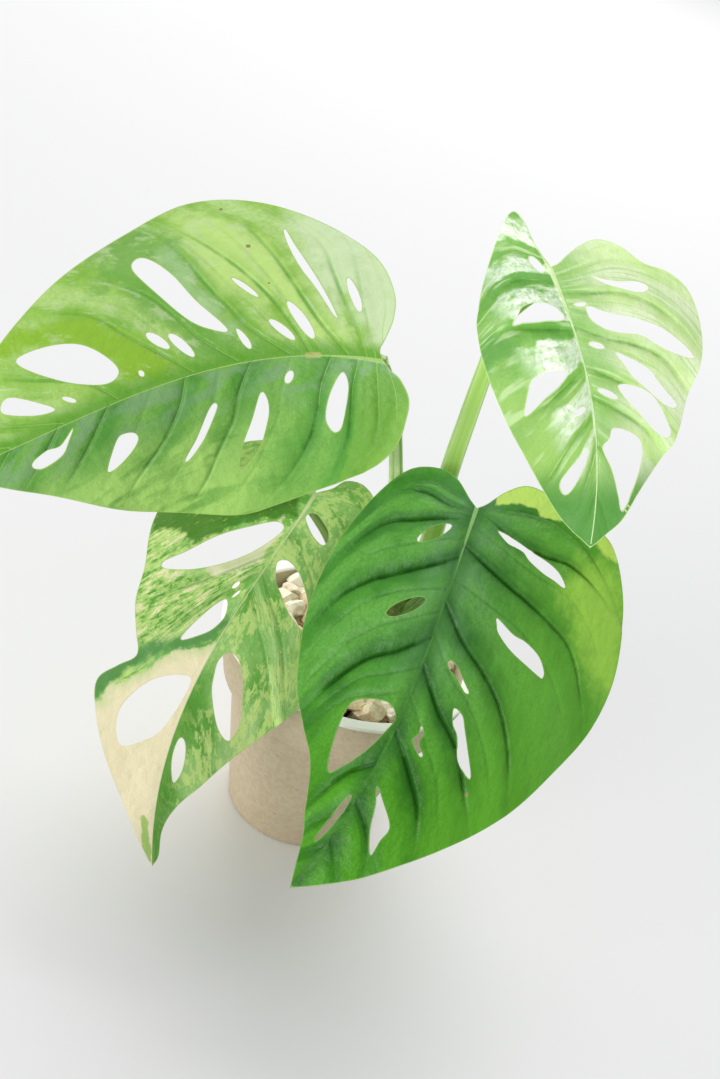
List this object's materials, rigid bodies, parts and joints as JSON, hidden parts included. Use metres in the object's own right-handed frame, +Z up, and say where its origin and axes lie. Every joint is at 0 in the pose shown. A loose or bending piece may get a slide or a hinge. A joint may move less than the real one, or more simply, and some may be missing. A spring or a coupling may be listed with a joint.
{
  "type": "potted swiss-cheese vine",
  "caption": "Young swiss-cheese vine with perforated heart-shaped leaves on long stalks, in a small tapered ceramic pot filled with bark and pumice.",
  "frame": {"origin": "middle of the pot's flat foot, on the surface it stands on", "axes": "+Z up, -Y to the front, where the leaves face, +X to the front's right"},
  "size_m": [0.2401, 0.1665, 0.2686],
  "materials": {
    "pot_ceramic": "matt, unglazed look with fine specks",
    "bark_and_pumice": "rough pale chips with dark gaps",
    "stem_green": "satin, ringed at its nodes",
    "striped_petiole": "satin, striped lengthwise in dark and pale green",
    "pale_petiole": "satin",
    "green_petiole": "satin",
    "mid_green_leaf": "satin, with lighter patches",
    "young_leaf": "glossy and puckered",
    "dark_leaf": "satin, quilted between sunk veins",
    "variegated_leaf": "satin, marbled in cream and green"
  },
  "bodies": {
    "root": {"pot": "pot_ceramic", "substrate": "bark_and_pumice", "stem": "stem_green", "petiole_1": "striped_petiole", "petiole_2": "pale_petiole", "petiole_3": "green_petiole", "petiole_4": "green_petiole", "leaf_1": "mid_green_leaf", "leaf_2": "young_leaf", "leaf_3": "dark_leaf", "leaf_4": "variegated_leaf"}
  },
  "joints": []
}
